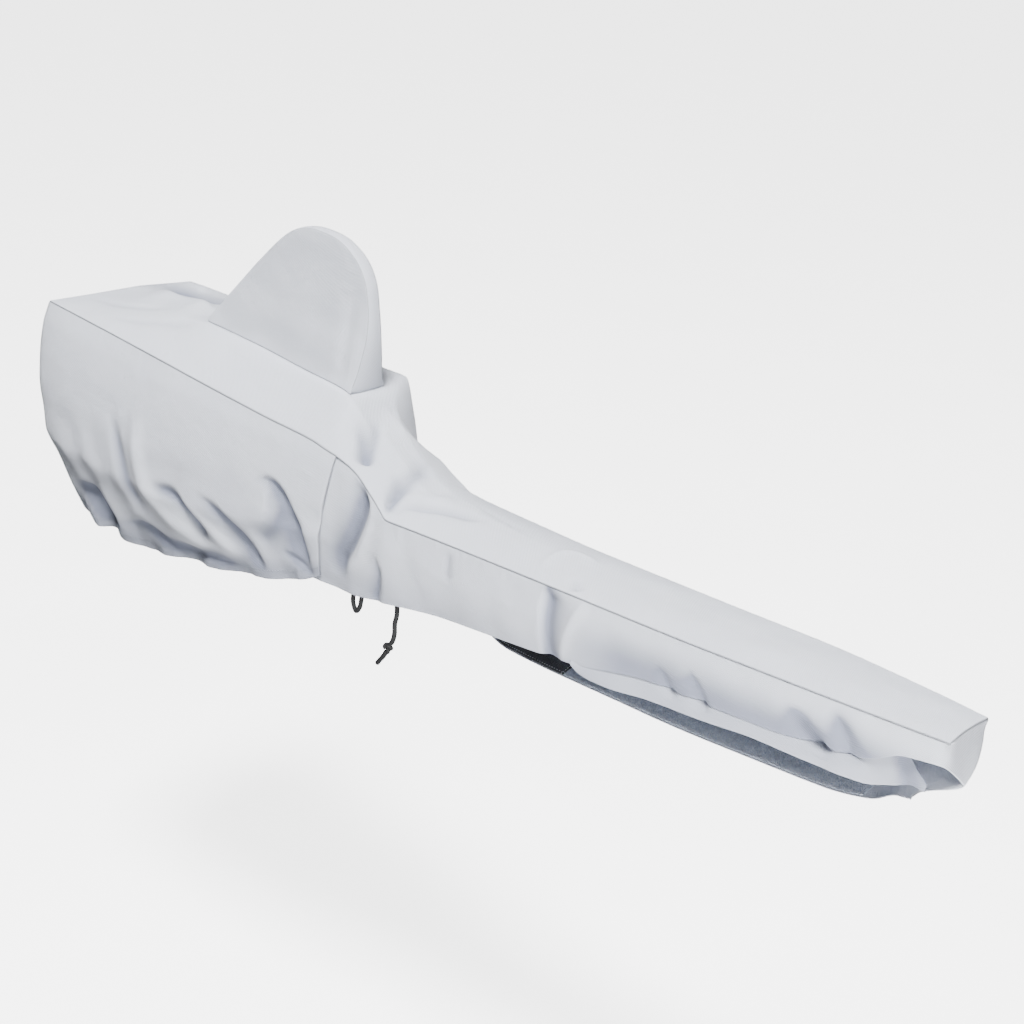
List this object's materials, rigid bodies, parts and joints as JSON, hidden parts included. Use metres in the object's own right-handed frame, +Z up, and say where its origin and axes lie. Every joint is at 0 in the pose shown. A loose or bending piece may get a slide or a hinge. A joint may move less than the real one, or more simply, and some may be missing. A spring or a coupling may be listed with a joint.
{
  "type": "outboard motor cover",
  "caption": "Fitted cloth cover for an outboard motor: a deep head with a fin-shaped hump, a long tiller sleeve and a drawcord.",
  "frame": {"origin": "under the top panel, on its centre line, where the cover rests on the rear of the motor's cowling", "axes": "+X forward along the tiller sleeve, from the head to the tip; +Y to the far side; +Z up"},
  "size_m": [1.1523, 0.2435, 0.4076],
  "materials": {
    "grey_cloth": "fine woven coated polyester, matt, light cool grey",
    "black_tape": "stiff hooked tape, dull black, stitched",
    "grey_tape": "fuzzy loop tape, blue-grey",
    "black_cord": "braided cord, near-black"
  },
  "bodies": {
    "root": {"top_panel": "grey_cloth", "head_wall": "grey_cloth", "sleeve_wall": "grey_cloth", "closure_flap": "grey_cloth", "hump_near": "grey_cloth", "hump_far": "grey_cloth", "hump_gusset": "grey_cloth", "hook_tape": "black_tape", "loop_tape": "grey_tape", "drawcord": "black_cord", "cord_knot": "black_cord", "cord_tail": "black_cord"}
  },
  "joints": []
}
